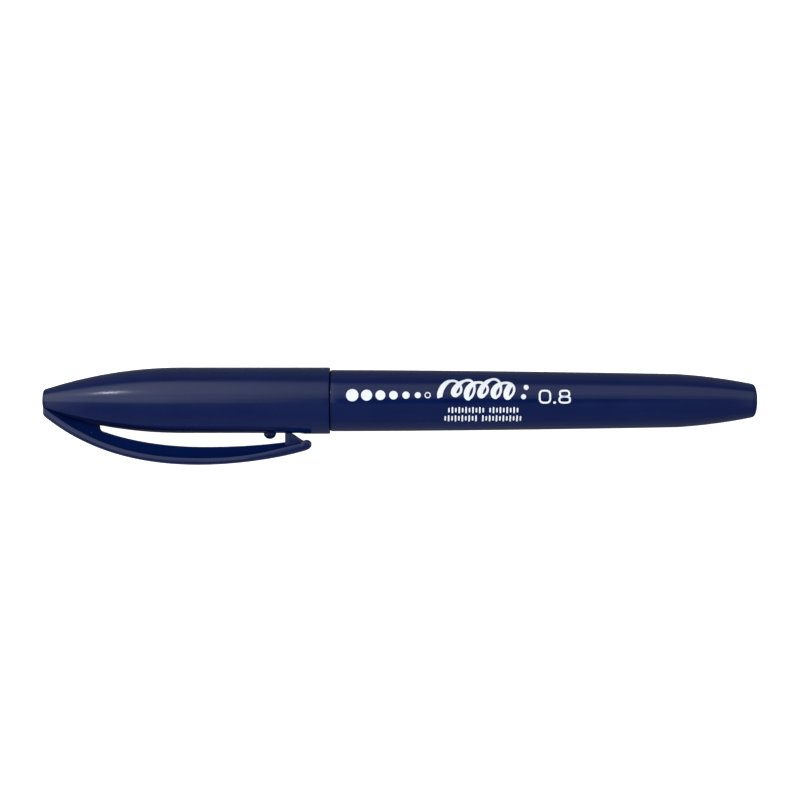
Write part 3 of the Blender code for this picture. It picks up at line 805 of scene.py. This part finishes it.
def oval(work, centre, half_size, width, squareness=1.0, steps=48):
    """A printed ring, rounder or squarer."""
    centres = []
    for i in range(steps + 1):
        turn = 2 * math.pi * i / steps
        cosine, sine = math.cos(turn), math.sin(turn)
        across = math.copysign(abs(cosine) ** squareness, cosine)
        up = math.copysign(abs(sine) ** squareness, sine)
        centres.append((centre[0] + half_size[0] * across, centre[1] + half_size[1] * up))
    ribbon(work, centres, [width] * len(centres))


def make_print(name, material, draw):
    work = bmesh.new()
    draw(work)
    return add_mesh(name, work, material)


def draw_dots(work):
    """A row of dots from wide to fine, and a small ring after them."""
    start, end, up = -78.6 * mm, -66.0 * mm, 1.05 * mm
    count, largest, smallest = 6, 2.35 * mm, 1.15 * mm
    for i in range(count):
        share = i / (count - 1)
        size = largest + (smallest - largest) * share
        x = start + (end - start) * (share * 1.12 - 0.12 * share**2)
        pill(work, (x - 0.01 * mm, up), (x + 0.01 * mm, up), size)
    oval(work, (-64.1 * mm, up), (0.5 * mm, 0.5 * mm), 0.2 * mm)


def draw_flourish(work):
    """A pen-stroke sample of leaning loops, the first and last ones taller."""
    steps = 260
    turns = 5.25
    start, length, middle = -60.6 * mm, 13.4 * mm, 2.25 * mm
    centres, widths = [], []
    for i in range(steps + 1):
        t = i / steps
        angle = 2 * math.pi * turns * t + 0.5
        tall = 0.62 + 0.38 * math.cos(3 * math.pi * t) ** 2
        up = middle - 1.9 * mm * tall * math.cos(angle)
        along = start + length * t - 1.25 * mm * math.sin(angle)
        centres.append((along + 0.30 * (up - middle), up))
        widths.append(0.46 * mm + 0.62 * mm * max(0.0, math.sin(angle + 0.4)) ** 0.7)
    ribbon(work, centres, widths)
    for up in (0.75 * mm, 2.55 * mm):
        x = -45.2 * mm + 0.30 * (up - middle)
        pill(work, (x - 0.01 * mm, up), (x + 0.01 * mm, up), 0.95 * mm)


def draw_scales(work):
    """Two fine scales of upright ticks under the flourish, each with a gap in it."""
    tick, pitch = 0.30 * mm, 0.66 * mm
    rows = ((-1.83 * mm, -60.0 * mm, 21, 11), (-3.42 * mm, -60.7 * mm, 23, 10))
    for middle, start, count, gap in rows:
        for i in range(count):
            if i == gap:
                continue
            x = start + pitch * i
            half = 0.46 * mm if i % 2 else 0.30 * mm
            pill(work, (x, middle - half), (x, middle + half), tick, 10)


def draw_size(work):
    """The line width in millimetres, in plain numerals."""
    width = 0.36 * mm
    middle, half, half_wide = 0.76 * mm, 1.34 * mm, 1.02 * mm
    foot = middle - half + 0.2 * mm
    oval(work, (-41.53 * mm, middle), (half_wide, half - width / 2), width, 0.62)
    pill(work, (-39.75 * mm, foot), (-39.61 * mm, foot), 0.44 * mm)
    eye = (half - width / 2) / 2
    oval(work, (-37.74 * mm, middle + eye), (half_wide * 0.88, eye), width, 0.70)
    oval(work, (-37.74 * mm, middle - eye), (half_wide, eye), width, 0.70)


# --- Stage ---


def make_floor():
    """A plain pale sheet that the camera sees as an even white. It mirrors as a dim grey, as
    round a product that is lit to keep its edges dark."""
    reach = 3.0
    work = bmesh.new()
    bmesh.ops.create_grid(work, x_segments=8, y_segments=8, size=reach)
    nodes = Nodes("pale_floor")
    grain = nodes.noise(4.0 * mm)
    pale = nodes.mix(grain, (0.80, 0.80, 0.80), (0.82, 0.82, 0.82))
    seen = nodes.add("ShaderNodeLightPath").outputs["Is Camera Ray"]
    nodes.colour(nodes.mix(seen, (0.17, 0.17, 0.17), pale))
    nodes.set(Emission_Color=(1.0, 1.0, 1.0, 1.0), Specular_IOR_Level=0.0)
    nodes.join(nodes.calculate("MULTIPLY", seen, 0.85), nodes.shader.inputs["Emission Strength"])
    paper = nodes.finish(nodes.ramp(grain, 0.3, 0.7, 0.8, 0.9), nodes.bump(grain, 0.01 * mm))
    floor = add_mesh("floor", work, paper)
    floor.location = (CAP_END_X / 2, 0.0, FLOOR_Z)


def softbox(name, tilt_degrees, span_degrees, along, radiance, distance=0.7):
    """An area light that faces the pen across its axis. tilt is its direction from the vertical
    towards +Y and span the angle it covers there. along holds its ends along X, in metres from
    the pen's middle."""
    data = bpy.data.lights.new(name, "AREA")
    data.shape = "RECTANGLE"
    data.size = along[1] - along[0]
    data.size_y = 2 * distance * math.tan(math.radians(span_degrees / 2))
    data.energy = radiance * math.pi * data.size * data.size_y
    data.color = COOL_WHITE
    light = bpy.data.objects.new(name, data)
    bpy.context.scene.collection.objects.link(light)
    tilt = math.radians(tilt_degrees)
    middle = CAP_END_X / 2 + sum(along) / 2
    light.location = (middle, distance * math.sin(tilt), distance * math.cos(tilt))
    light.rotation_euler = (-tilt, 0.0, 0.0)
    light.visible_camera = False
    return light


def light_studio():
    """Key softboxes on the +Y side, brightest over the cap, a small lamp off the cap's end, and two
    fills that leave no reflection, from above and low on the clip's side."""
    everywhere, cap_side = (-0.9, 0.9), (-1.1, -0.09)
    softbox("key_wide", 38, 60, everywhere, 0.26)
    softbox("key_core", 42, 40, everywhere, 0.26)
    softbox("cap_key", 31, 78, cap_side, 0.60)
    softbox("cap_fill", 2, 18, cap_side, 0.32)
    softbox("lamp", 34.5, 4, (-0.425, -0.375), 60.0)
    fills = (("fill_top", 8, 80, 1.10), ("fill_low", -76, 26, 2.6))
    for name, tilt, span, radiance in fills:
        fill = softbox(name, tilt, span, (-0.6, 0.6), radiance)
        fill.visible_glossy = False
    make_room()


def make_room():
    """A dim room, darkest overhead and paler at the pen's two ends. The camera sees it white, so
    that it runs on from the floor."""
    world = bpy.data.worlds.new("room")
    bpy.context.scene.world = world
    world.use_nodes = True
    tree = world.node_tree
    direction = tree.nodes.new("ShaderNodeTexCoord").outputs["Generated"]
    split = tree.nodes.new("ShaderNodeSeparateXYZ")
    tree.links.new(direction, split.inputs["Vector"])

    def ramp(source, *numbers):
        node = tree.nodes.new("ShaderNodeMapRange")
        for socket, number in zip(("From Min", "From Max", "To Min", "To Max"), numbers):
            node.inputs[socket].default_value = number
        tree.links.new(source, node.inputs["Value"])
        return node.outputs["Result"]

    def calculate(operation, first, second):
        node = tree.nodes.new("ShaderNodeMath")
        node.operation = operation
        tree.links.new(first, node.inputs[0])
        tree.links.new(second, node.inputs[1])
        return node.outputs["Value"]

    sides = ramp(split.outputs["Z"], 0.996, 0.97, 0.0, 0.15)
    cap_wall = ramp(split.outputs["X"], -0.55, -0.85, 0.0, 0.9)
    tail_wall = ramp(split.outputs["X"], 0.50, 0.66, 0.0, 0.8)
    upper_part = ramp(split.outputs["Z"], 0.35, 0.6, 0.0, 1.0)
    tail_wall = calculate("MULTIPLY", tail_wall, upper_part)
    seen = tree.nodes.new("ShaderNodeLightPath").outputs["Is Camera Ray"]
    level = calculate("ADD", calculate("ADD", sides, cap_wall), calculate("ADD", tail_wall, seen))
    background = tree.nodes["Background"]
    tree.links.new(level, background.inputs["Strength"])
    background.inputs["Color"].default_value = (1.0, 1.0, 1.0, 1.0)


def make_camera():
    """Straight above the pen's middle, with the cap's end to the left."""
    data = bpy.data.cameras.new("camera")
    data.sensor_width = 36.0
    data.lens = 80.56
    data.clip_start = 0.01
    camera = bpy.data.objects.new("camera", data)
    bpy.context.scene.collection.objects.link(camera)
    camera.location = (-69.42 * mm, 0.12 * mm, 350.0 * mm)
    bpy.context.scene.camera = camera


# --- Assembly ---


def place(piece, body, slot, *nodes):
    """piece rides on a body and stands for these CAD nodes, which it hides. slot is not used."""
    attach(piece, body)
    if nodes:
        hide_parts(*nodes)


def main():
    barrel_navy = moulded_navy("navy_plastic_barrel", 0.12, 0.004 * mm)
    cap_navy = moulded_navy("navy_plastic_cap", 0.19, 0.006 * mm)
    white = printed_white()
    fibre = ink_fibre()
    liner = liner_plastic()

    place(make_barrel(barrel_navy), "barrel", "navy_plastic", "barrel")
    place(make_tail_plug(barrel_navy), "barrel", "navy_plastic", "tail_plug")
    place(make_grip_section(section_plastic()), "barrel", "section_plastic", "grip_section")
    place(make_nib_holder(holder_plastic()), "barrel", "holder_plastic", "nib_holder")
    place(make_nib(fibre), "barrel", "ink_fibre", "nib")
    place(make_inner_cap(liner), "inner_cap", "liner_plastic", "inner_cap")
    place(make_cap_shell(cap_navy), "cap", "navy_plastic", "cap_shell")
    place(make_clip_bump(cap_navy), "cap", "navy_plastic")

    clip = make_clip(cap_navy)
    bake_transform(clip)
    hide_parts("pocket_clip")

    marks = {
        "print_dots": draw_dots,
        "print_flourish": draw_flourish,
        "print_scales": draw_scales,
        "print_size": draw_size,
    }
    for name, draw in marks.items():
        place(make_print(name, white, draw), "barrel", "white_print")

    kept = {"ink_reservoir": fibre, "breather_tube": liner, "reservoir_film": clear_film()}
    for node, material in kept.items():
        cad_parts[node].material_slots[0].material = material

    make_floor()
    light_studio()
    make_camera()
    bpy.context.scene.view_settings.view_transform = "Standard"


main()
